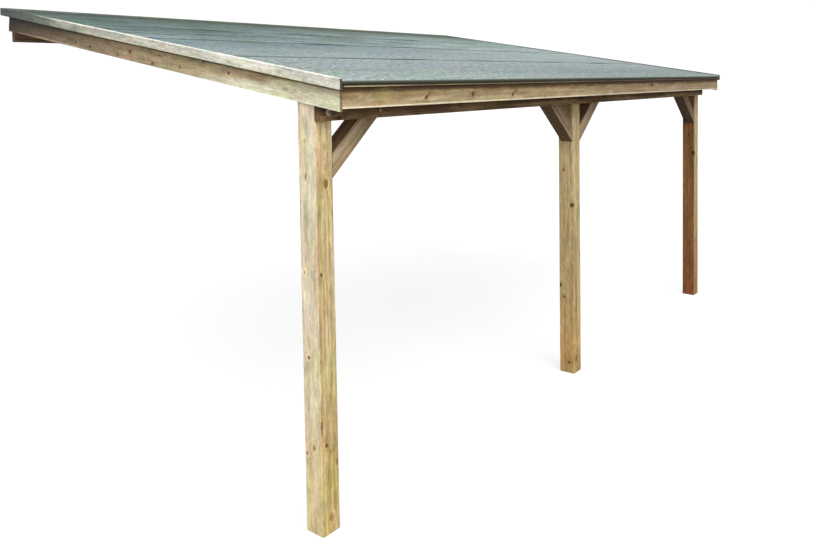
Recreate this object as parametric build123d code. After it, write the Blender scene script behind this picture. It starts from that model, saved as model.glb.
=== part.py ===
"""Lean-to carport: a felted mono-pitch roof between a ledger on a wall and three braced posts.

Sizes are millimetres. X runs along the wall, +Y points into the wall and +Z is up. Heights are
worked out above the ground, and each piece is then lowered so that the origin is the centre of
the ledger's back face, where it meets the wall.
"""

import os
from math import atan, cos, radians, sin, tan

from build123d import *

# --- Overall sizes ---
bay = 2720.0  # centre to centre of neighbouring posts
post_front_to_wall = 3259.0  # from the posts' front faces to the wall
beam_underside = 2090.0  # clear height under the front beam
fall = 1 / 6  # the roof drops this much per unit of run, from the wall to the eave
eave_overhang = 208.0  # from the posts' front faces to the outer face of the drip

# --- Posts, beam and ledger ---
post_side = 120.0
beam_thickness = 45.0
beam_depth = 120.0
ledger_thickness = 45.0
ledger_depth = 120.0
beam_arris = 9.0  # radius on the long edges of the beam and the ledger
post_top_clearance = 2.5  # between a post or brace top and the rafters

# --- Knee braces ---
brace_width = 95.0  # across its face, square to its length
brace_thickness = 95.0  # front to back
brace_pitch = 40.0  # degrees above level
brace_foot_drop = 290.0  # from the beam's underside to the brace's lowest point

# --- Rafters ---
rafter_count = 9
rafter_width = 45.0
rafter_depth = 95.0
beam_notch = 15.0  # how far the rafters are let down over the beam's front edge
ledger_notch = 5.0  # how far the inner rafters are let down over the ledger's front edge
notch_clearance = 1.0

# --- Roof covering ---
deck_thickness = 18.0
felt_thickness = 4.0
felt_strips = 4
felt_exposure = 850.0  # visible width of the lower strips, measured down the slope
felt_top_width = 1000.0  # the strip at the wall goes on last and shows its full width
felt_lap = 100.0  # how far each strip covers the one below it
felt_ramp = 14.0  # length over which a lapping strip comes back down to the deck
felt_drip = 22.0  # how far the lowest strip turns down over the eave
felt_bend = 5.0  # radius where it turns down
felt_edge_gap = 1.0  # between the felt and the trims beside it

# --- Boards round the roof ---
board_thickness = 18.0  # fascia, bargeboards and trims
fascia_height = 115.0
fascia_deck_gap = 1.0
bargeboard_height = 145.0
bargeboard_reach = 2.0  # how far its front end stands out past the fascia
bargeboard_wall_gap = 87.0  # from the wall to its lower back corner
trim_height = 54.0
trim_stand = 11.0  # how far the trims stand up past the felt
trim_reach = 1.0  # how far the side trims stand out past the drip
batten_thickness = 16.0
batten_height = 27.0
wall_clearance = 2.0  # between the wall and everything but the ledger

# --- Wall bolts through the ledger, one midway between each two rafters ---
wall_bolt_radius = 7.0

# --- Places worked out from the sizes above ---
pitch = atan(fall)
frame_half_length = bay + post_side / 2  # from the middle to the posts' outer faces
post_front = -post_front_to_wall
beam_front = post_front - beam_thickness
beam_top = beam_underside + beam_depth
eave_line = post_front - eave_overhang
batten_front = eave_line + felt_thickness
fascia_front = batten_front + batten_thickness
fascia_back = fascia_front + board_thickness
trim_back = -wall_clearance
cover_back = trim_back - board_thickness
first_rafter = -frame_half_length + rafter_width / 2
rafter_spacing = -2 * first_rafter / (rafter_count - 1)
verge_inside = frame_half_length + board_thickness
verge_outside = verge_inside + board_thickness

# Heights square to the slope, counted from the rafters' undersides.
deck_level = rafter_depth + deck_thickness
bargeboard_level = deck_level - bargeboard_height
felt_level = deck_level + felt_thickness
trim_level = felt_level + trim_stand


def slope_height(y, level):
    """Height above ground, at y, of the plane that lies `level` over the rafters' undersides."""
    return beam_top - beam_notch + (y - beam_front) * fall + level / cos(pitch)


def verge_end(level):
    """Y of the square-cut back end that the bargeboards and the outer rafters share, at a level."""
    return -bargeboard_wall_gap - (level - bargeboard_level) * sin(pitch)


post_top = slope_height(post_front, 0) - post_top_clearance
ledger_top = slope_height(-ledger_thickness, 0) + ledger_notch
origin_height = ledger_top - ledger_depth / 2


def side_profile(points, x_low, x_high):
    """A solid with one outline in the YZ plane, from x_low to x_high."""
    outline = Plane.YZ * make_face(Polyline(*points, close=True))
    return Pos(x_low, 0, 0) * extrude(outline, amount=x_high - x_low, dir=(1, 0, 0))


def slope_slab(low_level, high_level, y_low, y_high, x_low, x_high):
    """A slab that follows the roof's slope, with plumb ends."""
    corners = [
        (y_low, slope_height(y_low, low_level)),
        (y_high, slope_height(y_high, low_level)),
        (y_high, slope_height(y_high, high_level)),
        (y_low, slope_height(y_low, high_level)),
    ]
    return side_profile(corners, x_low, x_high)


def verge_slab(low_level, high_level, y_low, x_low, x_high):
    """A slab along the roof's side: plumb at the eave, cut square to the slope at its back end."""
    corners = [
        (y_low, slope_height(y_low, low_level)),
        (verge_end(low_level), slope_height(verge_end(low_level), low_level)),
        (verge_end(high_level), slope_height(verge_end(high_level), high_level)),
        (y_low, slope_height(y_low, high_level)),
    ]
    return side_profile(corners, x_low, x_high)


def block(x_low, x_high, y_low, y_high, z_low, z_high):
    """A rectangular block between two corners."""
    size = (x_high - x_low, y_high - y_low, z_high - z_low)
    return Pos(x_low, y_low, z_low) * Box(*size, align=(Align.MIN, Align.MIN, Align.MIN))


def rounded_timber(x_low, x_high, y_low, y_high, z_low, z_high):
    """A level timber along X with its four long edges rounded."""
    section = RectangleRounded(y_high - y_low, z_high - z_low, beam_arris)
    centre = Pos(x_low, (y_low + y_high) / 2, (z_low + z_high) / 2)
    return centre * extrude(Plane.YZ * section, amount=x_high - x_low, dir=(1, 0, 0))


def post(centre_x):
    half = post_side / 2
    return block(centre_x - half, centre_x + half, post_front, post_front + post_side, 0, post_top)


def front_beam(x_low, x_high):
    return rounded_timber(x_low, x_high, beam_front, post_front, beam_underside, beam_top)


def wall_ledger():
    """The ledger stops level with the outer rafters' inner faces, and has a bolt hole in each gap."""
    reach = frame_half_length - rafter_width
    timber = rounded_timber(-reach, reach, -ledger_thickness, 0, ledger_top - ledger_depth, ledger_top)
    hole = Rot(90, 0, 0) * Cylinder(wall_bolt_radius, 3 * ledger_thickness)
    for gap in range(rafter_count - 1):
        timber -= Pos(first_rafter + (gap + 0.5) * rafter_spacing, 0, origin_height) * hole
    return timber


def brace(post_x, side):
    """A knee brace on one side of a post (side 1 is +X), running up behind the beam."""
    rise = tan(radians(brace_pitch))
    face_x = post_side / 2
    foot = beam_underside - brace_foot_drop
    foot_top = foot + brace_width / cos(radians(brace_pitch))
    outline = [
        (face_x, foot),
        (face_x, foot_top),
        (face_x + (post_top - foot_top) / rise, post_top),
        (face_x + (post_top - foot) / rise, post_top),
    ]
    points = [(post_x + side * x, z) for x, z in outline]
    face = Plane.XZ * make_face(Polyline(*points, close=True))
    return Pos(0, post_front, 0) * extrude(face, amount=brace_thickness, dir=(0, 1, 0))


def rafter(centre_x, rests_on_ledger):
    """A rafter notched over the beam and over the ledger. An outer one stops short of the ledger."""
    x_low = centre_x - rafter_width / 2
    x_high = centre_x + rafter_width / 2
    if rests_on_ledger:
        timber = slope_slab(0, rafter_depth, fascia_back, cover_back, x_low, x_high)
        ledger_front = -ledger_thickness - notch_clearance
        timber -= block(x_low - 1, x_high + 1, ledger_front, 0, 0, ledger_top)
    else:
        timber = verge_slab(0, rafter_depth, fascia_back, x_low, x_high)
    seat_low = beam_front - notch_clearance
    seat_high = post_front + notch_clearance
    return timber - block(x_low - 1, x_high + 1, seat_low, seat_high, 0, beam_top)


def roof_deck(x_low, x_high):
    return slope_slab(rafter_depth, deck_level, fascia_front, cover_back, x_low, x_high)


def eave_batten():
    """A batten along the deck's lower edge, with its top planed to the slope."""
    bottom = slope_height(batten_front, deck_level) - batten_height
    corners = [
        (batten_front, bottom),
        (fascia_front, bottom),
        (fascia_front, slope_height(fascia_front, deck_level)),
        (batten_front, slope_height(batten_front, deck_level)),
    ]
    return side_profile(corners, -frame_half_length, frame_half_length)


def felt_edge(index):
    """Y of the lower edge of a felt strip, the lowest strip being 0."""
    if index == felt_strips - 1:
        return cover_back - felt_top_width * cos(pitch)
    return eave_line + index * felt_exposure * cos(pitch)


def lowest_felt():
    """The strip at the eave, turned down over the batten."""
    half = verge_inside - felt_edge_gap
    y_high = felt_edge(1) + felt_lap * cos(pitch)
    drip_end = slope_height(eave_line, felt_level) - felt_drip
    corners = [
        (eave_line, drip_end),
        (batten_front, drip_end),
        (batten_front, slope_height(batten_front, deck_level)),
        (y_high, slope_height(y_high, deck_level)),
        (y_high, slope_height(y_high, felt_level)),
        (eave_line, slope_height(eave_line, felt_level)),
    ]
    strip = side_profile(corners, -half, half)
    bend = strip.edges().filter_by(Axis.X).group_by(Axis.Y)[0].sort_by(Axis.Z)[-1]
    return fillet(bend, felt_bend)


def upper_felt(index):
    """A strip whose lower edge lies on the strip below, and steps down to the deck behind it."""
    half = verge_inside - felt_edge_gap
    lap = felt_lap * cos(pitch)
    y_low = felt_edge(index)
    y_step = y_low + lap
    y_flat = y_step + felt_ramp
    y_high = cover_back if index == felt_strips - 1 else felt_edge(index + 1) + lap
    raised = felt_level + felt_thickness
    corners = [
        (y_low, slope_height(y_low, felt_level)),
        (y_step, slope_height(y_step, felt_level)),
        (y_flat, slope_height(y_flat, deck_level)),
        (y_high, slope_height(y_high, deck_level)),
        (y_high, slope_height(y_high, felt_level)),
        (y_flat, slope_height(y_flat, felt_level)),
        (y_step, slope_height(y_step, raised)),
        (y_low, slope_height(y_low, raised)),
    ]
    return side_profile(corners, -half, half)


def front_fascia():
    top = slope_height(fascia_front, rafter_depth) - fascia_deck_gap
    half = frame_half_length
    return block(-half, half, fascia_front, fascia_back, top - fascia_height, top)


def bargeboard(side):
    x_low, x_high = sorted((side * frame_half_length, side * verge_inside))
    front = fascia_front - bargeboard_reach
    return verge_slab(bargeboard_level, deck_level, front, x_low, x_high)


def verge_trim(side):
    """The strip over a bargeboard's outer face, from the eave to the wall."""
    x_low, x_high = sorted((side * verge_inside, side * verge_outside))
    front = eave_line - trim_reach
    return slope_slab(trim_level - trim_height, trim_level, front, trim_back, x_low, x_high)


def back_trim():
    """The strip across the roof's back edge, on the rafters' and the deck's ends."""
    top = slope_height(trim_back, trim_level)
    return block(-verge_inside, verge_inside, cover_back, trim_back, top - trim_height, top)


nodes = {}
for post_name, x in (("left", -bay), ("middle", 0), ("right", bay)):
    nodes[f"post_{post_name}"] = post(x)

nodes["front_beam_left"] = front_beam(-frame_half_length, 0)
nodes["front_beam_right"] = front_beam(0, frame_half_length)

nodes["brace_left"] = brace(-bay, 1)
nodes["brace_middle_left"] = brace(0, -1)
nodes["brace_middle_right"] = brace(0, 1)
nodes["brace_right"] = brace(bay, -1)

nodes["wall_ledger"] = wall_ledger()

for number in range(rafter_count):
    inner = 0 < number < rafter_count - 1
    nodes[f"rafter_{number + 1}"] = rafter(first_rafter + number * rafter_spacing, inner)

nodes["roof_deck_left"] = roof_deck(-frame_half_length, 0)
nodes["roof_deck_right"] = roof_deck(0, frame_half_length)
nodes["eave_batten"] = eave_batten()

nodes["felt_strip_1"] = lowest_felt()
for number in range(1, felt_strips):
    nodes[f"felt_strip_{number + 1}"] = upper_felt(number)

nodes["front_fascia"] = front_fascia()
nodes["back_trim"] = back_trim()
for side_name, direction in (("left", -1), ("right", 1)):
    nodes[f"bargeboard_{side_name}"] = bargeboard(direction)
    nodes[f"verge_trim_{side_name}"] = verge_trim(direction)

os.makedirs("parts", exist_ok=True)
for name, solid in nodes.items():
    export_step(Pos(0, 0, -origin_height) * solid, f"parts/{name}.step")
print(f"origin height above ground {origin_height:.3f}, pieces {len(nodes)}")
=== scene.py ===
"""Looks for the lean-to carport: treated pine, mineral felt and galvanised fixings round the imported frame.

Sizes are metres in the row frame: X along the wall, +Y into the wall, +Z up, the origin on the wall.
"""

from math import atan, cos, pi, radians, sin

import bmesh
import bpy
from mathutils import Matrix, Vector, noise


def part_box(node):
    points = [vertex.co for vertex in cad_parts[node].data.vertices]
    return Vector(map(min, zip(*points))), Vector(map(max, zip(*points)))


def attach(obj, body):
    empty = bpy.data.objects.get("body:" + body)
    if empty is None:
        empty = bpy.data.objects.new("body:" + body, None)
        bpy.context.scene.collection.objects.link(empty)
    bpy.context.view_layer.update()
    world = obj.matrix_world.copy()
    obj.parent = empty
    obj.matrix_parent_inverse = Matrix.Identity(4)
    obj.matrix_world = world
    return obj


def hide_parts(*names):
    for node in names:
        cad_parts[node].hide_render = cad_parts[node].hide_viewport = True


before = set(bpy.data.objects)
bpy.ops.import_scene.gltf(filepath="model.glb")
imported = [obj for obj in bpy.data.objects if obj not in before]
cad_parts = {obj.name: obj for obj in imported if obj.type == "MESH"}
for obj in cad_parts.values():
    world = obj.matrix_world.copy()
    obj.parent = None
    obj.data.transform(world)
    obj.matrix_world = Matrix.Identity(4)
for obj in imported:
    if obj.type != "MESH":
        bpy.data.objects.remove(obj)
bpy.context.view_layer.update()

FALL = 1 / 6  # how much the roof drops per unit of run
PITCH = atan(FALL)
BRACE_PITCH = radians(40)
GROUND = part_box("post_left")[0].z
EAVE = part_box("felt_strip_1")[0].y  # the felt's front face
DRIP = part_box("felt_strip_1")[0].z  # the foot of the felt's turned-down edge
BEAM_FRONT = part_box("front_beam_left")[0].y
BEAM_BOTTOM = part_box("front_beam_left")[0].z
BRACES = {"left": 0.0, "middle_left": 0.28, "middle_right": 0.2, "right": 0.5}  # how much painted shade dims each


def outward(brace):
    """1 for a brace that rises towards +X, and -1 for one that rises towards -X."""
    return 1 if brace in ("left", "middle_right") else -1


def tone(red, green, blue):
    """A colour from its 8-bit sRGB values."""

    def linear(value):
        share = value / 255
        return share / 12.92 if share <= 0.04045 else ((share + 0.055) / 1.055) ** 2.4

    return (linear(red), linear(green), linear(blue), 1.0)


# --- Building node trees ---


class Shade:
    """One material's node tree. Inputs are numbers, tuples or sockets."""

    def __init__(self, name):
        self.material = bpy.data.materials.new(name)
        self.material.use_nodes = True
        self.tree = self.material.node_tree
        self.skin = self.tree.nodes["Principled BSDF"]

    def feed(self, socket, value):
        if isinstance(value, bpy.types.NodeSocket):
            self.tree.links.new(value, socket)
        elif socket.type == "VECTOR":
            socket.default_value = value[:3]
        else:
            socket.default_value = value

    def add(self, kind, *inputs, **settings):
        node = self.tree.nodes.new("ShaderNode" + kind)
        for key, value in settings.items():
            setattr(node, key, value)
        for socket, value in zip(node.inputs, inputs):
            self.feed(socket, value)
        return node

    def math(self, operation, *values):
        return self.add("Math", *values, operation=operation).outputs[0]

    def plus(self, first, second):
        return self.math("ADD", first, second)

    def minus(self, first, second):
        return self.math("SUBTRACT", first, second)

    def times(self, first, second):
        return self.math("MULTIPLY", first, second)

    def most(self, first, second):
        return self.math("MAXIMUM", first, second)

    def vector(self, operation, *values):
        node = self.add("VectorMath", *values, operation=operation)
        return node.outputs["Value" if operation in ("LENGTH", "DOT_PRODUCT") else "Vector"]

    def scaled(self, vector, factor):
        """A vector or colour times one number."""
        node = self.add("VectorMath", vector, operation="SCALE")
        self.feed(node.inputs["Scale"], factor)
        return node.outputs["Vector"]

    def turned(self, vector, axis, angle):
        node = self.add("VectorRotate", vector, rotation_type=axis)
        node.inputs["Angle"].default_value = angle
        return node.outputs[0]

    def split(self, vector):
        return self.add("SeparateXYZ", vector).outputs

    def join(self, x, y, z):
        return self.add("CombineXYZ", x, y, z).outputs[0]

    def step(self, value, low, high):
        """0 below low, 1 above high, smooth between. It falls instead if low is above high."""
        node = self.add("MapRange", value, low, high, 0.0, 1.0, interpolation_type="SMOOTHSTEP")
        return node.outputs[0]

    def noise(self, place, detail=2.0, roughness=0.5):
        node = self.add("TexNoise", place)
        node.inputs["Scale"].default_value = 1.0
        node.inputs["Detail"].default_value = detail
        node.inputs["Roughness"].default_value = roughness
        return node.outputs[0]

    def blend(self, share, under, over):
        node = self.add("Mix", data_type="RGBA", blend_type="MIX")
        self.feed(node.inputs[0], share)
        self.feed(node.inputs[6], under)
        self.feed(node.inputs[7], over)
        return node.outputs[2]

    def bump(self, height, depth):
        node = self.add("Bump")
        self.feed(node.inputs["Height"], height)
        node.inputs["Strength"].default_value = 1.0
        node.inputs["Distance"].default_value = depth
        self.feed(self.skin.inputs["Normal"], node.outputs[0])

    def place(self):
        return self.add("TexCoord").outputs["Object"]

    def normal(self):
        return self.add("NewGeometry").outputs["Normal"]


def dimmed(s, light, share, loss):
    """Takes loss off the light where share is 1."""
    return s.times(light, s.minus(1.0, s.times(share, loss)))


def stained(s, colour, share, gains):
    """Multiplies the colour by gains where share is 1, so its figure stays."""
    return s.blend(share, colour, s.vector("MULTIPLY", colour, gains))


def stained_by(s, colour, value, *bands):
    """Stains the colour as value changes. A band is where it starts, where it is full, and its gains."""
    for start, full, gains in bands:
        colour = stained(s, colour, s.step(value, start, full), gains)
    return colour


def mottled(s, level, *parts):
    """Light that varies round level. A part is noise from 0 to 1 and its gain."""
    light = level - 0.5 * sum(gain for _, gain in parts)
    for part, gain in parts:
        light = s.plus(light, s.times(part, gain))
    return light


def shifted(s, value, ragged, reach):
    """The value with noise from 0 to 1 added, so that a stain's edge wanders by half of reach each way."""
    return s.plus(value, s.times(s.minus(ragged, 0.5), reach))


# --- Wood ---


class Knot:
    """A knot at a known place, with its strength and how dark its heart is.

    x, y and z run from the low corner of the timber's box. shape squeezes
    the knot along X, Y and Z, and lean turns it about Y.
    """

    def __init__(self, x, y, z, radius, shape=(1.0, 1.0, 0.7), lean=0.0, dark=0.5, strength=1.0):
        self.at = Vector((x, y, z))
        self.radius = radius
        self.shape = shape
        self.lean = lean
        self.dark = dark
        self.strength = strength


class Grain:
    """Where a point lies in its timber: u and v across the grain, along it, and around the pith."""

    def __init__(self, s, place, run, tilt, pith, seed, boards):
        self.s = s
        self.seed = seed
        if tilt:
            place = s.turned(place, "Y_AXIS" if run == "z" else "X_AXIS", -tilt)
        x, y, z = s.split(place)
        u, v, along = {"x": (y, z, x), "y": (x, z, y), "z": (x, y, z)}[run]
        self.tint = 0.5
        if boards:
            row = s.math("FLOOR", s.math("DIVIDE", u, boards))
            dice = s.add("TexWhiteNoise", noise_dimensions="1D")
            s.feed(dice.inputs["W"], row)
            self.tint = dice.outputs["Value"]
            u = s.minus(u, s.times(s.plus(row, 0.5), boards))
            along = s.plus(along, s.times(self.tint, 40.0))
        self.u, self.v, self.along = u, v, along
        du, dv = s.minus(u, pith[0]), s.minus(v, pith[1])
        self.around = s.math("ARCTAN2", du, dv)
        drift = s.noise(s.join(s.plus(u, seed), v, s.times(along, 0.6)), 2.0)
        self.across = s.plus(s.vector("LENGTH", s.join(du, dv, 0.0)), s.times(drift, 0.06))
        self.ring = None

    def part_round(self, depth):
        """Lays the rings, which part round a knot. depth is how far a point lies inside the nearest one."""
        s = self.s
        halo = s.step(depth, -0.024, 0.0)
        self.ring = s.plus(s.plus(self.across, s.times(halo, 0.009)), self.seed)

    def figure(self, ring_scale, turn_scale, run_scale, detail):
        """Noise that follows the rings and is drawn out along the grain."""
        s = self.s
        turns, lengths = s.times(self.around, turn_scale), s.times(self.along, run_scale)
        return s.noise(s.join(s.times(self.ring, ring_scale), turns, lengths), detail)

    def noise(self, cross_scale, run_scale, detail, roughness=0.5, shift=0.0):
        """Noise through the timber, drawn out along the grain."""
        s = self.s
        lengths = s.times(s.plus(self.along, self.seed + shift), run_scale)
        sides = (s.times(side, cross_scale) for side in (self.u, self.v))
        return s.noise(s.join(*sides, lengths), detail, roughness)


def chance_knots(grain, share, size):
    """Knots by chance: how deep a point lies in the nearest, and the shares of knot and of dark heart.

    Knots are branches that run out from the pith, so each has a place round it and along it.
    """
    s = grain.s
    span, gap = 1.3, 0.36  # radians round the pith and metres along it from knot to knot
    turn = s.plus(s.math("DIVIDE", grain.around, span), grain.seed)
    cell = s.join(turn, s.plus(s.math("DIVIDE", grain.along, gap), grain.seed), 0.0)
    nearest = s.add("TexVoronoi", cell, voronoi_dimensions="2D")
    nearest.inputs["Scale"].default_value = 1.0
    off = s.split(s.vector("SUBTRACT", cell, nearest.outputs["Position"]))
    sideways = s.times(s.times(off[0], span), grain.across)
    lengthways = s.times(off[1], gap * 0.72)
    distance = s.vector("LENGTH", s.join(sideways, lengthways, 0.0))
    pick = s.split(nearest.outputs["Color"])
    radius = s.times(s.minus(pick[0], 1 - share), size / max(share, 0.001))
    depth = s.minus(radius, distance)
    core = s.step(depth, -0.0015, 0.0035)
    return depth, core, s.times(s.step(depth, 0.0, 0.005), pick[1])


def known_knots(s, at, place, corner, spots, depth, core, dark):
    """Adds the knots whose places are known to the depth and to the shares of knot and dark heart."""
    ragged = s.times(s.minus(s.noise(s.scaled(place, 110.0), 2.0), 0.5), 0.012)
    for spot in spots:
        away = s.vector("SUBTRACT", at, tuple(corner + spot.at))
        if spot.lean:
            away = s.turned(away, "Y_AXIS", spot.lean)
        away = s.plus(s.vector("LENGTH", s.vector("MULTIPLY", away, spot.shape)), ragged)
        inside = s.minus(spot.radius, away)
        depth = s.most(depth, inside)
        core = s.most(core, s.times(s.step(inside, -0.003, 0.005), spot.strength))
        dark = s.most(dark, s.times(s.step(inside, -0.001, 0.008), spot.dark * spot.strength))
    return depth, core, dark


def knot_marks(s, colour, depth, core, dark):
    """A dark ring and a pale collar round each knot, its wood and its heart."""
    ring = s.times(s.step(depth, -0.021, -0.016), s.step(depth, -0.008, -0.014))
    collar = s.times(s.step(depth, -0.014, -0.008), s.step(depth, 0.0, -0.005))
    colour = stained(s, colour, s.times(ring, 0.3), (0.86, 0.74, 0.56))
    colour = stained(s, colour, s.times(collar, 0.3), (1.12, 1.06, 0.92))
    colour = stained(s, colour, core, (0.5, 0.42, 0.28))
    return stained(s, colour, dark, (0.3, 0.2, 0.14))


def bare_wood(grain, tones, contrast):
    """Sawn wood's colour and light, its fine lines, its mottle, and the share that is worn in dashes."""
    s = grain.s
    pale, deep, stain = tones
    band = grain.figure(60.0, 2.2, 1.5, 3.0)
    line = grain.figure(330.0, 9.0, 3.5, 2.0)
    flush = grain.figure(26.0, 1.6, 1.6, 2.0)
    cloud = grain.noise(11.0, 3.4, 3.0, 0.6)
    ragged = grain.noise(38.0, 11.0, 3.0, 0.65, 5.0)
    mottle = grain.noise(110.0, 27.0, 3.0, 0.7)
    dash = grain.noise(105.0, 15.0, 3.0, 0.7)
    colour = s.blend(s.step(band, 0.36, 0.66), pale, deep)
    colour = s.blend(s.times(s.step(flush, 0.48, 0.68), 0.7), colour, stain)
    parts = ((line, 0.3), (cloud, 0.6), (ragged, 0.8), (mottle, 0.8), (grain.tint, 0.16))
    light = mottled(s, 1.03, *((part, gain * contrast) for part, gain in parts))
    wear_and_edge_light = s.times(s.step(dash, 0.54, 0.68), s.step(ragged, 0.6, 0.4))
    return stained(s, colour, wear_and_edge_light, (0.76, 0.64, 0.47)), light, line, mottle, wear_and_edge_light


def tinged(grain, colour, tinge):
    """Patches of a rosy and a mossy tinge."""
    s = grain.s
    rosy = grain.noise(24.0, 4.0, 2.0, 0.55, 3.0)
    mossy = grain.noise(20.0, 3.2, 2.0, 0.55, 7.0)
    for patch, gains in ((rosy, (1.08, 0.96, 1.01)), (mossy, (0.94, 1.01, 0.8))):
        colour = stained(s, colour, s.times(s.step(patch, 0.47, 0.64), tinge), gains)
    return colour


def checks(grain):
    """The share of thin checks, which open here and there along the rays."""
    s = grain.s
    crack = s.math("ABSOLUTE", s.minus(grain.figure(14.0, 7.0, 0.9, 1.0), 0.5))
    rare = s.step(s.noise(s.join(grain.around, grain.ring, grain.along), 0.0), 0.56, 0.62)
    return s.times(s.step(crack, 0.006, 0.001), rare)


def end_grain(s, colour, normal, run, end, line):
    """Keeps only end of each colour on the faces across the grain, with the rings more marked."""
    facing = s.split(s.vector("ABSOLUTE", normal))["xyz".index(run)]
    sawn = s.scaled(s.vector("MULTIPLY", colour, end), s.plus(0.6, s.times(line, 0.8)))
    return s.blend(s.step(facing, 0.8, 0.95), colour, sawn)


def wood(
    name,
    node,
    run,
    tones,
    tilt=0.0,
    pith=(0.006, -0.009),
    seed=0.0,
    knots=0.35,
    knot_size=0.015,
    spots=(),
    weather=None,
    boards=None,
    end=(0.6, 0.52, 0.44),
    contrast=1.0,
    tinge=1.0,
):
    """A sawn timber cut round its pith: rings, streaks along the grain, knots, checks and end grain.

    run is the axis that the grain follows, and tilt is how far it leans from that axis.
    tones are its pale, deep and stained colours. pith is where the rings'
    middle lies, across the grain, from the middle of the section.
    knots is the share of places that hold a knot, and spots are knots at known places.
    weather(s, colour, light, at, normal) adds what depends on where the surface is and how it faces.
    boards is the width of the boards that one solid stands for, if it does.
    end is how much of each colour the end grain keeps, and tinge is how rosy and mossy it is in patches.
    """
    s = Shade(name)
    low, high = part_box(node)
    at, normal = s.place(), s.normal()
    place = s.vector("SUBTRACT", at, tuple((low + high) / 2))
    grain = Grain(s, place, run, tilt, pith, seed, boards)
    depth, core, dark = chance_knots(grain, knots, knot_size)
    depth, core, dark = known_knots(s, at, place, low, spots, depth, core, dark)
    grain.part_round(depth)
    colour, light, line, mottle, wear_and_edge_light = bare_wood(grain, tones, contrast)
    if weather:
        colour, light = weather(s, colour, light, s.split(at), s.split(normal))
    colour = s.scaled(tinged(grain, colour, tinge), light)
    colour = knot_marks(s, colour, depth, core, dark)
    crack = checks(grain)
    colour = s.blend(s.times(crack, 0.6), colour, tone(50, 38, 25))
    if not (tilt and run == "z"):
        colour = end_grain(s, colour, normal, run, end, line)
    fibre = grain.noise(900.0, 16.0, 1.0)
    s.feed(s.skin.inputs["Base Color"], colour)
    s.feed(s.skin.inputs["Roughness"], s.plus(0.62, s.times(fibre, 0.3)))
    height = s.minus(s.times(line, 0.5), s.times(crack, 1.5))
    for part, strength in ((fibre, 0.35), (core, 0.3), (mottle, 0.4), (wear_and_edge_light, -0.5)):
        height = s.plus(height, s.times(part, strength))
    s.bump(height, 0.0008)
    return s.material


# --- How the timbers have weathered, and the light and shade painted on them ---
#
# Places along X, Y and Z are metres in the row frame. Gains are how much of its red, green and blue
# a colour keeps, so that its grain shows through. Weather functions give back the colour and the light.


def post_weather_and_shading(side, foot, foot_height, dim, even=0.0, head_light=(1.0, 1.0, 1.0)):
    """The face towards -X gets painted light and shade by side, the others near the beam get painted light
    by head_light, and the foot is stained by foot.

    The stain of the foot fades out at foot_height, dim is taken off the light,
    and even is how far the face towards -X is blended to one pale tone.
    """

    def weather(s, colour, light, at, normal):
        facing = s.step(s.times(normal[0], -1.0), 0.35, 0.8)
        # Painted light and shade on the face towards -X: paler and bluer on a lit post, darker on a shaded
        # one.
        colour = s.blend(s.times(facing, even), colour, POST_TONES[0])
        colour = stained(s, colour, facing, side)
        # Painted light brightens the other faces near the beam.
        near_beam = s.step(at[2], BEAM_BOTTOM - 0.327, BEAM_BOTTOM - 0.007)
        colour = stained(s, colour, dimmed(s, near_beam, facing, 1.0), head_light)
        colour = stained_by(s, colour, at[2], (GROUND + foot_height, GROUND + 0.05, foot))
        return colour, s.times(light, 1 - dim)

    return weather


def brace_painted_shade(dim):
    """Painted shade: the upper and lower faces are darker than the front and the back."""

    def weather(s, colour, light, at, normal):
        front = s.step(s.math("ABSOLUTE", normal[1]), 0.4, 0.8)
        colour = s.blend(front, s.vector("MULTIPLY", colour, (0.46, 0.37, 0.3)), colour)
        # dim is painted shade over the whole brace.
        return colour, s.times(light, 1 - dim)

    return weather


def beam_painted_shading(node, strip, shade=(1.0, 1.0, 1.0)):
    """Painted light makes the lower edge greyer and paler, and painted shade darkens the upper part."""
    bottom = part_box(node)[0].z

    def weather(s, colour, light, at, normal):
        above = s.minus(at[2], bottom)
        # shade is painted shade over the upper part, and strip is a painted highlight along the lower edge.
        return stained_by(s, colour, above, (0.044, 0.053, shade), (0.036, 0.024, strip)), light

    return weather


def batten_weather_and_shading(s, colour, light, at, normal):
    """Pale at its left end, darker towards the right, with painted shadow under the drip."""
    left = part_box("eave_batten")[0].x
    # Painted shadow of the drip over the batten's top.
    colour = stained_by(s, colour, at[2], (DRIP - 0.006, DRIP - 0.001, (0.35, 0.3, 0.25)))
    along = ((left + 0.2, left + 0.6, (0.42, 0.41, 0.37)), (left + 1.28, left + 3.28, (0.6, 0.56, 0.52)))
    return stained_by(s, colour, at[0], *along), light


def fascia_weather_and_shading(s, colour, light, at, normal):
    """Painted shade under the batten, a painted highlight along its lower edge, a little darker towards the
    right.
    """
    low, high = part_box("front_fascia")
    across = s.minus(at[0], low.x)
    above = s.minus(at[2], low.z)
    ragged = s.noise(s.join(s.times(at[0], 5.0), s.times(at[2], 20.0), 0.0), 3.0, 0.7)
    under = shifted(s, s.minus(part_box("eave_batten")[0].z, at[2]), ragged, 0.03)
    # Painted shadow under the batten.
    shade = ((0.08, 0.026, (0.7, 0.64, 0.54)), (0.036, 0.017, (0.28, 0.21, 0.13)))
    colour = stained_by(s, colour, under, *shade)
    moss_x, moss_z = 0.306, 0.042
    moss = s.vector("LENGTH", s.join(s.minus(across, moss_x), s.minus(above, moss_z), 0.0))
    colour = s.blend(s.times(s.step(moss, 0.09, 0.0), 0.45), colour, tone(168, 160, 74))
    colour = stained_by(s, colour, across, (0.23, -0.02, (1.0, 0.92, 0.94)))
    # Painted highlight along the lower edge.
    colour = s.blend(s.times(s.step(above, 0.013, 0.006), 0.85), colour, tone(246, 236, 208))
    colour = stained_by(s, colour, across, (2.71, 2.73, (1.0, 0.94, 0.99)))
    return colour, dimmed(s, light, s.step(at[0], low.x, high.x), 0.31)


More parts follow.
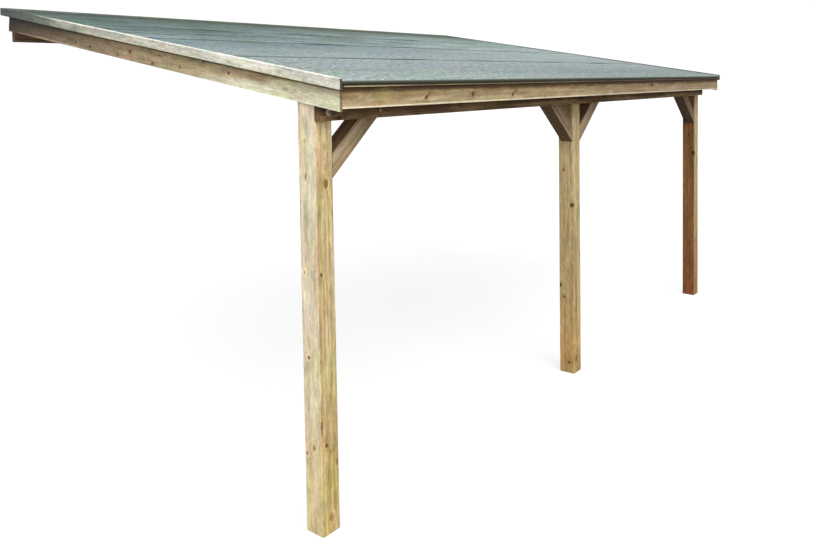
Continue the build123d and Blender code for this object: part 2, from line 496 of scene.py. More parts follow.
def below_trim(s, at, side):
    """How far a point lies below the lower edge of a side trim, square to the slope."""
    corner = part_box(f"verge_trim_{side}")[0]
    back = s.times(s.minus(at[1], corner.y), sin(PITCH))
    rise = s.times(s.minus(at[2], corner.z), cos(PITCH))
    return s.minus(back, rise)


BARGE_SHOWN = 0.109  # how far a bargeboard shows below its trim, square to the slope


def barge_weather_and_shading(side):
    """Cream at the eave, browner and darker towards the wall, painted shade at the top, a painted highlight
    at the lower edge.
    """

    def weather(s, colour, light, at, normal):
        under = below_trim(s, at, side)
        ragged = s.noise(s.join(s.times(at[1], 2.2), s.times(under, 26.0), 0.0), 3.0, 0.6)
        reach = shifted(s, at[1], ragged, 0.7)
        wedge = s.minus(reach, s.times(under, 8.7))
        colour = stained_by(s, colour, wedge, (-3.42, -3.14, (0.72, 0.62, 0.53)))
        browner = (
            (-2.6, -1.7, (0.8, 0.74, 0.72)),
            (-1.7, -0.5, (0.46, 0.45, 0.45)),
            (-1.7, -0.7, (0.78, 0.74, 0.72)),
        )
        colour = stained_by(s, colour, reach, *browner)
        darker = ((-0.7, -0.1, (0.46, 0.38, 0.36)), (-0.35, -0.1, (0.72, 0.62, 0.6)))
        colour = stained_by(s, colour, at[1], *darker)
        # Painted shade under the trim, stronger near the wall.
        wall_shade = s.times(s.step(under, 0.08, 0.02), s.step(at[1], -1.5, -0.5))
        colour = stained(s, colour, wall_shade, (0.6, 0.62, 0.56))
        # Painted highlight along the lower edge.
        edge = s.times(s.step(under, 0.09, 0.097), s.step(reach, -1.3, -0.8))
        colour = stained(s, colour, edge, (2.2, 2.3, 2.5))
        # Painted shade under the trim, with a dark painted shadow line just below it.
        shade = ((0.1, 0.0, (0.56, 0.52, 0.46)), (0.014, 0.005, (0.46, 0.36, 0.27)))
        colour = stained_by(s, colour, under, *shade)
        # The light is raised along the lower edge, a painted highlight.
        wear_and_edge_light = s.step(s.minus(BARGE_SHOWN, under), 0.009, 0.0054)
        return colour, dimmed(s, light, wear_and_edge_light, -0.15)

    return weather


def trim_weather(top_tone, near_wall, side=None):
    """Bleached or dirty on top and inside, darker towards the wall, and changed by near_wall beside it."""
    inward = {"left": 1, "right": -1, None: 0}[side]

    def weather(s, colour, light, at, normal):
        ragged = s.noise(s.join(s.times(at[1], 4.0), at[0], s.times(at[2], 3.0)), 3.0, 0.7)
        reach = shifted(s, at[1], ragged, 0.8)
        greyer = ((-2.7, -1.2, (0.62, 0.64, 0.62)), (-1.4, -0.4, (0.25, 0.28, 0.3)))
        colour = stained_by(s, colour, reach, *greyer)
        colour = stained_by(s, colour, at[1], (-0.55, -0.15, near_wall))
        top = s.step(s.most(normal[2], s.times(normal[0], inward)), 0.4, 0.8)
        if side == "left":
            crest = s.step(below_trim(s, at, side), -0.046, -0.05)
            top = s.most(top, s.times(crest, 0.6))
        top = s.times(top, s.step(at[1], -0.4, -1.1))
        return s.blend(top, colour, top_tone), light

    return weather


def rafter_weather(s, colour, light, at, normal):
    """Darker towards the wall."""
    return colour, dimmed(s, light, s.step(at[1], EAVE, -0.2), 0.45)


# --- Felt and metal ---


class Roof:
    """Where a point of the felt lies, how far left and how aged it is, and noise over the roof."""

    def __init__(self, s):
        self.s = s
        self.place = s.place()
        self.x, self.y, self.z = s.split(self.place)
        self.left = s.step(self.x, 1.6, -2.4)
        self.aged = s.times(s.step(self.y, -2.4, -1.2), s.plus(s.times(self.left, 0.5), 0.5))

    def noise(self, x_scale, y_scale, seed, detail, roughness=0.6):
        """Noise drawn out along or up the strips."""
        s = self.s
        spot = s.join(s.times(self.x, x_scale), s.times(self.y, y_scale), seed)
        return s.noise(spot, detail, roughness)


def felt_tints(s, roof, colour):
    """Patches of a violet, a green and an ochre tinge, stronger on the aged felt."""
    strength = s.plus(0.5, s.times(roof.aged, 0.3))
    patches = (
        (roof.noise(2.0, 4.5, 3.0, 3.0), (1.0, 0.95, 1.1)),
        (roof.noise(1.8, 4.0, 13.0, 3.0), (0.84, 1.0, 0.92)),
        (roof.noise(3.0, 5.0, 17.0, 3.0), (1.05, 1.0, 0.9)),
    )
    for patch, gains in patches:
        colour = stained(s, colour, s.times(s.step(patch, 0.46, 0.62), strength), gains)
    return colour


def felt_stains(s, roof, colour, long_streak):
    """Greener and darker towards the wall and the left, and streaked along the strips there."""
    x, y, left = roof.x, roof.y, roof.left
    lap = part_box("felt_strip_3")[0].y + 0.018  # just above the third strip's lower edge
    below_lap = s.times(s.step(y, -2.55, -1.95), s.step(y, lap + 0.01, lap))
    shares = (
        (s.step(y, -1.75, -1.15), (0.81, 0.86, 0.84)),
        (s.times(below_lap, left), (0.65, 0.74, 0.76)),
        (s.times(s.step(y, -2.1, -1.25), left), (0.42, 0.52, 0.485)),
        (dimmed(s, s.step(y, -1.05, -0.05), left, 0.45), (0.33, 0.38, 0.28)),
        (s.step(y, -0.33, -0.13), (0.56, 0.6, 0.5)),
        (s.times(s.step(x, -0.5, 1.5), s.step(y, -2.6, -2.0)), (1.08, 1.09, 1.07)),
        (s.step(y, -2.9, -3.2), (0.97, 1.0, 0.93)),
        (s.times(roof.aged, s.step(long_streak, 0.1, -0.4)), (0.84, 1.0, 0.9)),
    )
    for share, gains in shares:
        colour = stained(s, colour, share, gains)
    return colour


def lap_marks(s, roof, colour):
    """A paler band below each lap, and dark bleeding that is broken and weaker towards the right."""
    wander = roof.noise(7.0, 0.0, 0.0, 3.0)
    broken = roof.noise(2.3, 0.0, 5.0, 2.0)
    strength = s.step(s.plus(wander, s.times(broken, 0.8)), 0.74, 1.0)
    strength = dimmed(s, strength, s.step(roof.x, -1.6, 1.8), 0.75)
    for number, mark in ((2, 0.35), (3, 1.0), (4, 1.0)):
        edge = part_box(f"felt_strip_{number}")[0].y
        below = s.minus(edge + 0.006, roof.y)
        width = s.times(strength, 0.02 * mark)
        bleed = s.step(below, s.plus(width, 0.003), width)
        bleed = s.times(s.times(bleed, s.step(below, -0.006, 0.0)), strength)
        paler = s.times(s.step(below, 0.12, 0.03), s.step(below, 0.0, 0.02))
        colour = stained(s, colour, s.times(paler, 0.3), (1.3, 1.3, 1.3))
        colour = s.blend(s.times(bleed, 0.65 * mark), colour, tone(58, 72, 70))
    return colour


def felt_light(s, roof, grit, speck, long_streak):
    """How much light the felt throws back: speckled everywhere, in larger blots where it has aged."""
    x, y = roof.x, roof.y
    washed = roof.noise(26.0, 22.0, 11.0, 3.0, 0.75)
    coarse = roof.noise(24.0, 8.0, 21.0, 3.0, 0.75)
    dusty = roof.noise(48.0, 30.0, 23.0, 3.0, 0.8)
    light = mottled(s, 1.02, (grit, 0.6), (speck, 2.0), (washed, 2.2))
    light = dimmed(s, light, s.times(s.step(x, -2.4, 1.0), s.step(y, -2.6, -3.4)), 0.26)
    light = dimmed(s, light, s.step(y, -3.4, -3.12), 0.14)
    light = dimmed(s, light, s.times(roof.aged, long_streak), -1.0)
    light = dimmed(s, light, s.times(roof.aged, s.minus(coarse, 0.5)), -1.2)
    return dimmed(s, light, s.times(s.step(y, -2.0, -2.8), s.minus(dusty, 0.5)), -2.6)


def felt_edges(s, roof, colour, rough):
    """The turned-down edge has a painted highlight at its bend and painted shade that darkens to its foot,
    the cut edges are plain, and the underside is dark.
    """
    drip = s.step(roof.y, EAVE + 0.007, EAVE + 0.002)
    # Painted shade darkens the turned-down edge to its foot, and a painted highlight lies at its bend.
    lip = s.blend(s.step(roof.z, DRIP + 0.004, DRIP + 0.015), tone(26, 27, 15), tone(66, 70, 58))
    lip = s.blend(s.step(roof.z, DRIP + 0.013, DRIP + 0.025), lip, tone(140, 150, 143))
    colour = s.blend(drip, colour, s.scaled(lip, rough))
    upright = s.split(s.normal())[2]
    raw_edge = s.times(s.step(upright, 0.3, 0.05), s.step(roof.y, EAVE + 0.02, EAVE + 0.05))
    colour = s.blend(raw_edge, colour, s.scaled(tone(118, 131, 128), rough))
    under = s.step(upright, -0.2, -0.6)
    return s.blend(under, colour, s.scaled(tone(36, 38, 36), rough))


def felt_material():
    """Blue-grey mineral felt, mottled and streaked along its strips, greener and darker near the wall."""
    s = Shade("mineral_felt")
    roof = Roof(s)
    grit = s.noise(s.scaled(roof.place, 420.0), 2.0, 0.7)
    speck = roof.noise(52.0, 90.0, 1.0, 3.0, 0.8)
    streak = roof.noise(1.6, 17.0, 0.0, 4.0, 0.7)
    long_streak = s.minus(s.step(roof.noise(1.4, 12.0, 9.0, 4.0, 0.75), 0.4, 0.6), 0.5)
    colour = s.blend(s.step(streak, 0.38, 0.62), tone(138, 150, 153), tone(152, 163, 164))
    colour = felt_tints(s, roof, colour)
    colour = felt_stains(s, roof, colour, long_streak)
    colour = lap_marks(s, roof, colour)
    colour = s.scaled(colour, felt_light(s, roof, grit, speck, long_streak))
    colour = felt_edges(s, roof, colour, s.plus(0.4, s.times(speck, 1.2)))
    s.feed(s.skin.inputs["Base Color"], colour)
    s.feed(s.skin.inputs["Roughness"], s.plus(0.72, s.times(grit, 0.25)))
    s.bump(s.plus(grit, s.times(speck, 0.6)), 0.0012)
    return s.material


def galvanised(name, dull, bright):
    """Zinc with a spangle from a dull to a bright tone. What stands out past the washer is darker."""
    s = Shade(name)
    place = s.place()
    spangle = s.add("TexVoronoi", s.scaled(place, 260.0))
    spangle.inputs["Scale"].default_value = 1.0
    cells = s.split(spangle.outputs["Color"])[0]
    cloud = s.noise(s.scaled(place, 120.0), 3.0)
    colour = s.blend(s.plus(s.times(cells, 0.4), s.times(cloud, 0.6)), dull, bright)
    proud = (BEAM_FRONT - WASHER - 0.0005, BEAM_FRONT - WASHER - 0.002, (0.45, 0.42, 0.42))
    s.feed(s.skin.inputs["Base Color"], stained_by(s, colour, s.split(place)[1], proud))
    s.skin.inputs["Metallic"].default_value = 0.55
    s.feed(s.skin.inputs["Roughness"], s.plus(0.38, s.times(cloud, 0.3)))
    s.bump(cloud, 0.0003)
    return s.material


# --- Making pieces ---


def ease_edges(node, width):
    """Rounds a CAD node's sharp edges a little, without touching its mesh."""
    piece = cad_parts[node]
    weld = piece.modifiers.new("weld", "WELD")
    weld.merge_threshold = 0.00002  # joins only the vertices that faces hold twice
    bevel = piece.modifiers.new("ease", "BEVEL")
    bevel.width = width
    bevel.segments = 2
    bevel.limit_method = "ANGLE"
    bevel.angle_limit = radians(50)


def dress(node, material, width):
    """Gives a CAD node its material and eased edges."""
    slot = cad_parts[node].material_slots[0]
    slot.material = material
    ease_edges(node, width)


def timber(node, run, tones, width, name=None, **look):
    """Dresses a CAD node in wood of its own."""
    dress(node, wood(name or f"{node}_pine", node, run, tones, **look), width)


def finish_piece(name, bm, material, smooth=35.0):
    """Makes an object of a bmesh, riding on the carport."""
    bmesh.ops.recalc_face_normals(bm, faces=bm.faces)
    mesh = bpy.data.meshes.new(name)
    bm.to_mesh(mesh)
    bm.free()
    for face in mesh.polygons:
        face.use_smooth = True
    mesh.set_sharp_from_angle(angle=radians(smooth))
    mesh.materials.append(material)
    piece = bpy.data.objects.new(name, mesh)
    bpy.context.scene.collection.objects.link(piece)
    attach(piece, "root")
    return piece


# --- Deck boards ---

DECK_BOARD = 0.0955  # laid width of a deck board
DECK_GROOVE = 0.005  # chamfer on a deck board's lower edges
DECK_JOINT = 0.0008  # gap between two boards


def along_roof(slope_run, level, low_y, low_z):
    """The y and z of a point so far up the slope from a line, and so far above the slope."""
    y = low_y + slope_run * cos(PITCH) - level * sin(PITCH)
    z = low_z + slope_run * sin(PITCH) + level * cos(PITCH)
    return y, z


def prism(bm, outline, x_low, x_high):
    """A bar along X with one outline of (y, z) points."""
    ends = [[bm.verts.new((x, y, z)) for y, z in outline] for x in (x_low, x_high)]
    for end in ends:
        bm.faces.new(end)
    for index in range(len(outline)):
        after = (index + 1) % len(outline)
        bm.faces.new((ends[0][index], ends[0][after], ends[1][after], ends[1][index]))


def deck_half(side, material):
    """Half of the roof deck as separate boards with chamfered lower edges."""
    node = f"roof_deck_{side}"
    low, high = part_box(node)
    thickness = (high.z - low.z - (high.y - low.y) * FALL) * cos(PITCH)
    length = (high.y - low.y) / cos(PITCH) - thickness * sin(PITCH)
    count = round(length / DECK_BOARD)
    laid = length / count
    start = thickness * sin(PITCH) * cos(PITCH)
    bm = bmesh.new()
    for index in range(count):
        first = start + index * laid + DECK_JOINT / 2
        last = start + (index + 1) * laid - DECK_JOINT / 2
        section = [
            (first + DECK_GROOVE, 0.0),
            (last - DECK_GROOVE, 0.0),
            (last, DECK_GROOVE),
            (last, thickness),
            (first, thickness),
            (first, DECK_GROOVE),
        ]
        outline = [along_roof(run, level, low.y, low.z) for run, level in section]
        prism(bm, outline, low.x, high.x)
    piece = finish_piece(f"deck_boards_{side}", bm, material)
    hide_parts(node)


# --- Felt sheets ---

FELT = 0.004  # thickness of the felt
FELT_LAP = 0.1  # how far a strip lies over the one below
FELT_RAMP = 0.014  # run in which a strip comes down from the one that it laps
FELT_LOOSE = 0.09  # depth of a strip's lower edge that wanders and curls
FELT_WANDER, FELT_RIPPLE = 0.005, 0.002  # how far that edge wanders, in long and in short waves
FELT_CURL = 0.006  # how far it lifts where it has curled
DRIP_BEND = 0.005  # radius of the felt's bend at the eave
DRIP_FLAT = 0.008  # height of the turned-down edge's lowest row
BEND_STEPS = 4
STRIP_COLUMNS = 150
STRIP_ROWS = 34


def felt_plane(y):
    """Height of the felt's upper face where it lies flat on the deck."""
    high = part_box("felt_strip_1")[1]
    return high.z + (y - high.y) * FALL


def wave(x, y, size, seed):
    """Smooth noise from -1 to 1 over the roof."""
    return noise.noise(Vector((x / size, y / size, seed)))


def swell(x, y):
    """How far the felt has lifted off the deck, in soft low rolls."""
    return 0.0012 * (1 + wave(x, y, 0.45, 3.0)) + 0.0005 * (1 + wave(x, y, 0.12, 8.0))


def drip_rows(x):
    """Upper and lower points of the turned-down edge at one x, from its foot up to the slope."""
    rows = [((x, EAVE, z), (x, EAVE + FELT, z)) for z in (DRIP, DRIP + DRIP_FLAT)]
    for turn in range(BEND_STEPS + 1):
        angle = (pi / 2 - PITCH) * turn / BEND_STEPS
        y = EAVE + DRIP_BEND * (1 - cos(angle))
        z = min(felt_plane(EAVE + DRIP_BEND) - DRIP_BEND * (1 - sin(angle)), felt_plane(y))
        rows.append(((x, y, z), (x, EAVE + FELT, z - FELT * 0.6)))
    return rows


def slope_rows(x, number):
    """Upper and lower points of a strip at one x, up the slope, closer together near its lower edge."""
    low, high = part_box(f"felt_strip_{number}")
    rows = []
    for index in range(STRIP_ROWS + 1):
        y = low.y + (high.y - low.y) * (index / STRIP_ROWS) ** 1.25
        rise = 0.0
        if number == 1 and y < low.y + 0.02:
            continue
        if number > 1:
            lap_end = low.y + FELT_LAP * cos(PITCH)
            rise = FELT * min(1.0, max(0.0, (lap_end + FELT_RAMP - y) / FELT_RAMP))
            loose = max(0.0, 1 - (y - low.y) / FELT_LOOSE)
            y += loose * FELT_WANDER * wave(x, 0.0, 0.35, number)
            y += loose * FELT_RIPPLE * wave(x, 0.0, 0.09, number + 5.0)
            curl = max(0.0, wave(x, 0.0, 0.5, number + 20.0) + 0.15)
            rise += loose**2 * FELT_CURL * curl
        z = felt_plane(y) + rise + swell(x, y)
        rows.append(((x, y, z), (x, y, z - FELT * 0.97)))
    return rows


def sheet(bm, top, bottom):
    """Closes two grids of vertices, one above the other, into a thin solid."""
    count, rows = len(top) - 1, len(top[0])
    for index in range(count):
        after = index + 1
        for row in range(rows - 1):
            for near, far in ((top[index], top[after]), (bottom[index], bottom[after])):
                bm.faces.new((near[row], far[row], far[row + 1], near[row + 1]))
        for row in (0, rows - 1):
            bm.faces.new((top[index][row], top[after][row], bottom[after][row], bottom[index][row]))
    for index in (0, count):
        for row in range(rows - 1):
            bm.faces.new((top[index][row], top[index][row + 1], bottom[index][row + 1], bottom[index][row]))


def felt_strip(number, material):
    """One strip of felt with a wandering lower edge that has lifted here and there."""
    low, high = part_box(f"felt_strip_{number}")
    bm = bmesh.new()
    top, bottom = [], []
    for index in range(STRIP_COLUMNS + 1):
        x = low.x + (high.x - low.x) * index / STRIP_COLUMNS
        rows = (drip_rows(x) if number == 1 else []) + slope_rows(x, number)
        top.append([bm.verts.new(upper) for upper, lower in rows])
        bottom.append([bm.verts.new(lower) for upper, lower in rows])
    sheet(bm, top, bottom)
    piece = finish_piece(f"felt_sheet_{number}", bm, material, 50.0)
    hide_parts(f"felt_strip_{number}")


# --- Bolts ---

WASHER, NUT, BOLT_END = 0.003, 0.0108, 0.016  # how far each stands out from the beam
LEFT_WASHER, OTHER_WASHER, BRACE_WASHER = 0.0165, 0.012, 0.0115  # radii
NUT_SHARE, SHANK_SHARE = 0.58, 0.32  # radii, as shares of the washer's
POST_BOLT_HEIGHT = 0.043  # over the beam's lower edge
POST_BOLT_DROP = 0.026  # below the beam's upper edge
BRACE_BOLT_HEIGHT = 0.044  # over the beam's lower edge
BRACE_BOLT_IN = 0.153  # back from a brace's far end


def disc(bm, centre, outline, sides, turn=0.0):
    """A round or many-sided boss on a face towards -Y. outline is (radius, how far it stands out) pairs."""
    rings = []
    for radius, stand in outline:
        ring = []
        for index in range(sides):
            angle = turn + 2 * pi * index / sides
            offset = Vector((radius * cos(angle), -stand, radius * sin(angle)))
            ring.append(bm.verts.new(centre + offset))
        rings.append(ring)
    for inner, outer in zip(rings, rings[1:]):
        for index in range(sides):
            after = (index + 1) % sides
            bm.faces.new((inner[index], inner[after], outer[after], outer[index]))
    bm.faces.new(rings[0])
    bm.faces.new(rings[-1])


def beam_bolt(name, x, z, radius, material):
    """A washer, a nut and the bolt's end on the beam's front face."""
    centre = Vector((x, BEAM_FRONT, z))
    nut, shank = radius * NUT_SHARE, radius * SHANK_SHARE
    bm = bmesh.new()
    disc(bm, centre, [(radius, 0.0), (radius, WASHER - 0.0008), (radius - 0.0008, WASHER)], 32)
    disc(bm, centre, [(nut, WASHER), (nut, NUT - 0.001), (nut - 0.0013, NUT)], 6, 0.35)
    disc(bm, centre, [(shank, NUT - 0.0003), (shank, BOLT_END - 0.0015), (shank - 0.0012, BOLT_END)], 20)
    finish_piece(name, bm, material, 30.0)


def beam_bolts():
    """Two bolts through the beam into each post, and one into each brace."""
    bright = galvanised("bright_zinc", tone(192, 166, 162), tone(250, 226, 220))
    dull = galvanised("dull_zinc", tone(84, 70, 58), tone(120, 104, 90))
    low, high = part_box("front_beam_left")
    for side in ("left", "middle", "right"):
        post_low, post_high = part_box(f"post_{side}")
        middle = (post_low.x + post_high.x) / 2
        radius, zinc = (LEFT_WASHER, bright) if side == "left" else (OTHER_WASHER, dull)
        lower = ("lower", -0.008, low.z + POST_BOLT_HEIGHT)
        upper = ("upper", 0.03, high.z - POST_BOLT_DROP)
        for level, shift, z in (lower, upper):
            beam_bolt(f"bolt_post_{side}_{level}", middle + shift, z, radius, zinc)
    for side in BRACES:
        brace_low, brace_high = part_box(f"brace_{side}")
        tip = brace_high.x if outward(side) > 0 else brace_low.x
        zinc = bright if side == "left" else dull
        x = tip - outward(side) * BRACE_BOLT_IN
        beam_bolt(f"bolt_brace_{side}", x, low.z + BRACE_BOLT_HEIGHT, BRACE_WASHER, zinc)


# --- Camera, floor and light ---


def camera():
    """The camera stands before the left bay's outer side, level with the eave, and looks slightly down."""
    yaw, dip, roll = 0.89204, 0.04871, 0.01638
    eye_point = Vector((-5.43276, -5.98486, -0.40883))
    forward = Vector((sin(yaw) * cos(dip), cos(yaw) * cos(dip), -sin(dip)))
    right = forward.cross(Vector((0, 0, 1))).normalized()
    above = right.cross(forward)
    turned_right = right * cos(roll) - above * sin(roll)
    turned_above = above * cos(roll) + right * sin(roll)
    lens = bpy.data.cameras.new("camera")
    lens.lens = 34.225
    lens.sensor_width = 36.0
    lens.shift_y = -0.18995
    lens.clip_end = 2000.0
    eye = bpy.data.objects.new("camera", lens)
    columns = Matrix((turned_right, turned_above, -forward)).transposed()
    eye.matrix_world = Matrix.Translation(eye_point) @ columns.to_4x4()
    bpy.context.scene.collection.objects.link(eye)
    bpy.context.scene.camera = eye


def floor_material():
    """White to the camera, but a dull ground that throws little light back up."""
    s = Shade("pale_floor")
    s.tree.nodes.remove(s.skin)
    seen = s.add("BsdfDiffuse")
    seen.inputs[0].default_value = (0.36, 0.36, 0.36, 1.0)
    glow = s.add("Emission")
    glow.inputs["Strength"].default_value = 0.7
    pale = s.add("AddShader", seen.outputs[0], glow.outputs[0])
    thrown = s.add("BsdfDiffuse")
    thrown.inputs[0].default_value = (0.3, 0.28, 0.25, 1.0)
    mix = s.add("MixShader")
    s.feed(mix.inputs[0], s.add("LightPath").outputs["Is Camera Ray"])
    s.feed(mix.inputs[1], thrown.outputs[0])
    s.feed(mix.inputs[2], pale.outputs[0])
    output = next(n for n in s.tree.nodes if n.type == "OUTPUT_MATERIAL")
    s.feed(output.inputs[0], mix.outputs[0])
    return s.material


def floor():
    """A plain pale floor, so wide that its edge is out of sight."""
    bm = bmesh.new()
    bmesh.ops.create_grid(bm, x_segments=8, y_segments=8, size=900.0)
    mesh = bpy.data.meshes.new("floor")
    bm.to_mesh(mesh)
    bm.free()
    mesh.materials.append(floor_material())
    ground = bpy.data.objects.new("floor", mesh)
    ground.location.z = GROUND - 0.0005  # just clear of the posts' feet
    bpy.context.scene.collection.objects.link(ground)


def sun(name, direction, strength, spread, colour):
    """A soft distant lamp that shines along direction."""
    lamp = bpy.data.lights.new(name, "SUN")
    lamp.energy = strength
    lamp.angle = radians(spread)
    lamp.color = colour
    body = bpy.data.objects.new(name, lamp)
    body.rotation_mode = "QUATERNION"
    body.rotation_quaternion = Vector(direction).to_track_quat("-Z", "Y")
    bpy.context.scene.collection.objects.link(body)


def lights():
    """A white backdrop, even light from the sky and two soft lamps from the front and the left."""
    world = bpy.data.worlds.new("studio")
    world.use_nodes = True
    nodes = world.node_tree.nodes
    lit, seen = nodes["Background"], nodes.new("ShaderNodeBackground")
    lit.inputs["Color"].default_value = (0.97, 0.99, 1.0, 1.0)
    lit.inputs["Strength"].default_value = 0.85
    seen.inputs["Color"].default_value = (1.0, 1.0, 1.0, 1.0)
    seen.inputs["Strength"].default_value = 1.05
    mix, path = nodes.new("ShaderNodeMixShader"), nodes.new("ShaderNodeLightPath")
    output = next(n for n in nodes if n.type == "OUTPUT_WORLD")
    for source, target in (
        (path.outputs["Is Camera Ray"], mix.inputs[0]),
        (lit.outputs[0], mix.inputs[1]),
        (seen.outputs[0], mix.inputs[2]),
        (mix.outputs[0], output.inputs[0]),
    ):
        world.node_tree.links.new(source, target)
    bpy.context.scene.world = world
    sun("key", (0.35, 0.62, -0.7), 1.7, 40.0, (1.0, 0.98, 0.93))
    sun("side", (0.92, 0.12, -0.38), 1.1, 50.0, (0.9, 0.97, 1.0))
    bpy.context.scene.view_settings.view_transform = "Standard"


# --- The carport ---

POST_TONES = (tone(218, 201, 158), tone(188, 163, 113), tone(182, 159, 105))
BEAM_TONES = (tone(118, 91, 52), tone(74, 51, 25), tone(98, 75, 38))
LEDGER_TONES = (tone(124, 106, 86), tone(90, 75, 62), tone(104, 88, 68))
BRACE_TONES = (tone(184, 164, 134), tone(144, 122, 94), tone(160, 138, 108))
RAFTER_TONES = (tone(150, 124, 90), tone(118, 92, 64), tone(128, 108, 72))
BATTEN_TONES = (tone(232, 216, 178), tone(210, 190, 148), tone(214, 196, 146))
FASCIA_TONES = (tone(192, 175, 140), tone(160, 141, 106), tone(170, 147, 108))
BARGE_TONES = (tone(213, 211, 187), tone(196, 188, 162), tone(198, 192, 160))
TRIM_TONES = (tone(226, 223, 208), tone(198, 197, 185), tone(202, 198, 180))

OVAL = (1.0, 1.0, 0.8)
SLANTED = (0.7, 1.0, 1.25)
LEFT_POST_KNOTS = (
    Knot(0.069, 0.0, 1.778, 0.017, dark=0.12),
    Knot(0.025, 0.0, 1.328, 0.01, OVAL, 0.4, 0.5),
    Knot(0.035, 0.0, 0.463, 0.011, OVAL, 0.3, 0.75),
    Knot(0.106, 0.0, 0.353, 0.01, (1.2, 1.0, 0.5), 0.0, 0.6, 0.8),
    Knot(0.061, 0.0, 0.083, 0.02, OVAL, 0.3, 0.45, 0.5),
    Knot(0.004, 0.0, 0.573, 0.007, (1.0, 1.0, 0.2), 0.0, 0.5, 0.8),
    Knot(0.0, 0.071, 1.993, 0.009, dark=0.2, strength=0.45),
    Knot(0.0, 0.07, 1.815, 0.008, (1.0, 1.2, 0.4), 0.0, 0.6),
    Knot(0.0, 0.094, 1.333, 0.009, dark=0.3, strength=0.7),
    Knot(0.0, 0.076, 0.905, 0.011, (1.0, 1.0, 1.0), 0.0, 0.9),
    Knot(0.0, 0.053, 0.447, 0.012, (1.0, 1.1, 0.7), 0.0, 0.35, 0.85),
    Knot(0.0, 0.103, 0.408, 0.009, (1.0, 1.0, 0.9), 0.0, 0.55),
    Knot(0.0, 0.084, 0.383, 0.007, (1.0, 1.0, 0.9), 0.0, 0.2, 0.6),
)
MIDDLE_POST_KNOTS = (
    Knot(0.002, 0.004, 1.313, 0.017, (0.9, 0.6, 1.0), 0.0, 0.75),
    Knot(0.0, 0.113, 0.683, 0.016, OVAL, 0.0, 0.75),
    Knot(0.0, 0.079, 0.593, 0.012, OVAL, 0.0, 0.3),
    Knot(0.0, 0.039, 0.083, 0.012, OVAL, 0.0, 0.35),
    Knot(0.04, 0.0, 0.113, 0.016, (1.0, 1.0, 0.5), 0.0, 0.1),
    Knot(0.0, 0.079, 1.583, 0.012, OVAL, 0.0, 0.2),
)
RIGHT_POST_KNOTS = (
    Knot(0.002, 0.004, 1.493, 0.02, (0.9, 0.6, 0.8), 0.0, 0.7),
    Knot(0.0, 0.059, 0.823, 0.018, OVAL, 0.0, 0.1, 0.45),
    Knot(0.0, 0.059, 0.183, 0.02, OVAL, 0.0, 0.0, 0.25),
)
FASCIA_KNOTS = (
    Knot(0.655, 0.0, 0.041, 0.014, SLANTED, 0.45, 0.8),
    Knot(0.68, 0.0, 0.058, 0.014, (0.8, 1.0, 1.1), 0.7, 0.3, 0.6),
    Knot(1.1, 0.0, 0.047, 0.014, (0.75, 1.0, 0.8), 0.0, 0.65, 0.9),
    Knot(1.545, 0.0, 0.037, 0.014, SLANTED, 0.45, 0.8),
    Knot(1.58, 0.0, 0.058, 0.015, (0.7, 1.0, 1.1), 0.7, 0.3, 0.6),
    Knot(3.82, 0.0, 0.062, 0.013, (0.5, 1.0, 0.8), 0.0, 0.65),
    Knot(2.73, 0.0, 0.032, 0.013, (0.6, 1.0, 0.9), 0.0, 0.2, 0.4),
    Knot(0.17, 0.0, 0.07, 0.02, (0.5, 1.0, 1.2), 0.4, 0.1, 0.3),
    Knot(0.45, 0.0, 0.077, 0.016, (0.4, 1.0, 1.2), 0.4, 0.1, 0.3),
)
BARGE_KNOTS = (
    Knot(0.0, 1.758, 0.348, 0.014, (1.0, 0.8, 1.0), 0.0, 0.6),
    Knot(0.0, 1.523, 0.274, 0.014, (1.0, 0.8, 1.0), 0.0, 0.5, 0.9),
    Knot(0.0, 0.817, 0.201, 0.011, (1.0, 0.7, 1.0), 0.0, 0.7, 0.9),
    Knot(0.0, 1.251, 0.244, 0.014, (1.0, 0.8, 1.0), 0.0, 0.2, 0.5),
    Knot(0.0, 1.036, 0.266, 0.009, (1.0, 0.6, 1.0), 0.0, 0.7, 0.9),
    Knot(0.0, 2.222, 0.399, 0.012, (1.0, 0.7, 1.0), 0.0, 0.6, 0.9),
    Knot(0.0, 2.398, 0.437, 0.01, (1.0, 0.7, 1.0), 0.0, 0.5, 0.9),
)


def posts():
    """The left post is paler and bluer on its face towards -X and near the beam, painted light; the right
    one is darker on that face, painted shade; each foot is stained.
    """
    # The gains for the face towards -X are painted light on the left post and painted shade on the middle
    # and right ones; the left post's last gains are painted light near the beam.
    left = post_weather_and_shading((1.0, 1.06, 1.34), (0.95, 0.9, 0.7), 1.1, 0.02, 0.55, (1.5, 1.5, 1.7))
    middle = post_weather_and_shading((0.936, 0.872, 0.82), (1.0, 0.86, 0.67), 1.1, 0.19)
    right = post_weather_and_shading((0.507, 0.295, 0.154), (0.8, 0.58, 0.4), 1.5, 0.27)
    shared = dict(contrast=1.2, tinge=0.8)
    for side, seed, weather, spots, knots in (
        ("left", 3.1, left, LEFT_POST_KNOTS, 0.0),
        ("middle", 10.1, middle, MIDDLE_POST_KNOTS, 0.12),
        ("right", 17.1, right, RIGHT_POST_KNOTS, 0.12),
    ):
        look = dict(seed=seed, weather=weather, spots=spots, knots=knots)
        timber(f"post_{side}", "z", POST_TONES, 0.005, **look, **shared)


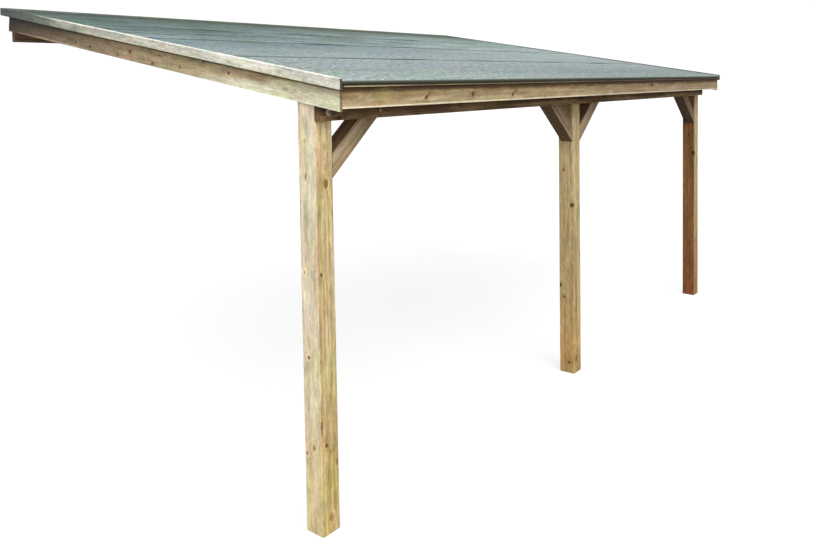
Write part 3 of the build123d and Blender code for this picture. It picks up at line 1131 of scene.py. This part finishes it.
def beams():
    """The front beam's two lengths and the ledger on the wall."""
    for side, seed in (("left", 11.7), ("right", 16.7)):
        node = f"front_beam_{side}"
        # Painted highlight along the lower edge, painted shade over the upper part.
        weather = beam_painted_shading(node, (1.7, 2.0, 3.0), (0.55, 0.45, 0.3))
        timber(node, "x", BEAM_TONES, 0.002, pith=(0.06, 0.02), seed=seed, weather=weather, contrast=1.6)
    # Painted highlight along the ledger's lower edge.
    weather = beam_painted_shading("wall_ledger", (1.2, 1.2, 1.2))
    look = dict(pith=(-0.07, 0.01), seed=23.3, weather=weather, end=(0.5, 0.42, 0.36))
    timber("wall_ledger", "x", LEDGER_TONES, 0.002, "ledger_pine", **look)


def braces():
    """The knee braces, which lean out from their posts up to the beam."""
    for index, (side, dim) in enumerate(BRACES.items()):
        tilt = outward(side) * (pi / 2 - BRACE_PITCH)
        look = dict(tilt=tilt, seed=31.9 + index * 3, knots=0.2, weather=brace_painted_shade(dim))
        timber(f"brace_{side}", "z", BRACE_TONES, 0.003, **look)


def rafters():
    """The nine rafters under the deck."""
    for index in range(1, 10):
        look = dict(tilt=PITCH, pith=(0.05, 0.03), seed=41.3 + index * 2.7, weather=rafter_weather)
        timber(f"rafter_{index}", "y", RAFTER_TONES, 0.002, **look)


def cross_boards():
    """The batten and the fascia at the eave, and the trim along the wall."""
    look = dict(pith=(0.03, 0.04), seed=71.1, knots=0.1, weather=batten_weather_and_shading)
    timber("eave_batten", "x", BATTEN_TONES, 0.0015, "batten_pine", **look)
    look = dict(pith=(0.05, 0.02), seed=77.7, knots=0.03, weather=fascia_weather_and_shading, tinge=0.8)
    timber("front_fascia", "x", FASCIA_TONES, 0.003, "fascia_pine", spots=FASCIA_KNOTS, **look)
    weather = trim_weather(tone(110, 114, 96), (1.7, 1.75, 1.7))
    timber("back_trim", "x", TRIM_TONES, 0.003, pith=(0.05, 0.03), seed=83.9, knots=0.1, weather=weather)


def side_boards():
    """The bargeboards and the trims over them. The left trim is bleached on top."""
    shared = dict(tilt=PITCH, knots=0.08, knot_size=0.01, contrast=1.5)
    for side, out, seed, spots, top_tone in (
        ("left", -1, 89.3, BARGE_KNOTS, tone(244, 243, 234)),
        ("right", 1, 93.3, (), tone(104, 102, 96)),
    ):
        look = dict(pith=(-out * 0.06, 0.01), seed=seed, end=(0.46, 0.36, 0.25), tinge=0.8, spots=spots)
        weather = barge_weather_and_shading(side)
        timber(f"bargeboard_{side}", "y", BARGE_TONES, 0.003, weather=weather, **look, **shared)
        look = dict(pith=(-out * 0.05, 0.02), seed=seed + 7.8, end=(0.13, 0.12, 0.1), tinge=0.6)
        weather = trim_weather(top_tone, (0.62, 0.63, 0.74), side)
        timber(f"verge_trim_{side}", "y", TRIM_TONES, 0.003, weather=weather, **look, **shared)


def roof_covering():
    """The deck's boards and the felt on them."""
    for side in ("left", "right"):
        node = f"roof_deck_{side}"
        look = dict(pith=(0.02, 0.09), seed=103.3, boards=DECK_BOARD)
        deck_half(side, wood(f"deck_{side}_pine", node, "x", RAFTER_TONES, **look))
    felt = felt_material()
    for number in range(1, 5):
        felt_strip(number, felt)


posts()
beams()
braces()
rafters()
cross_boards()
side_boards()
roof_covering()
beam_bolts()
camera()
floor()
lights()
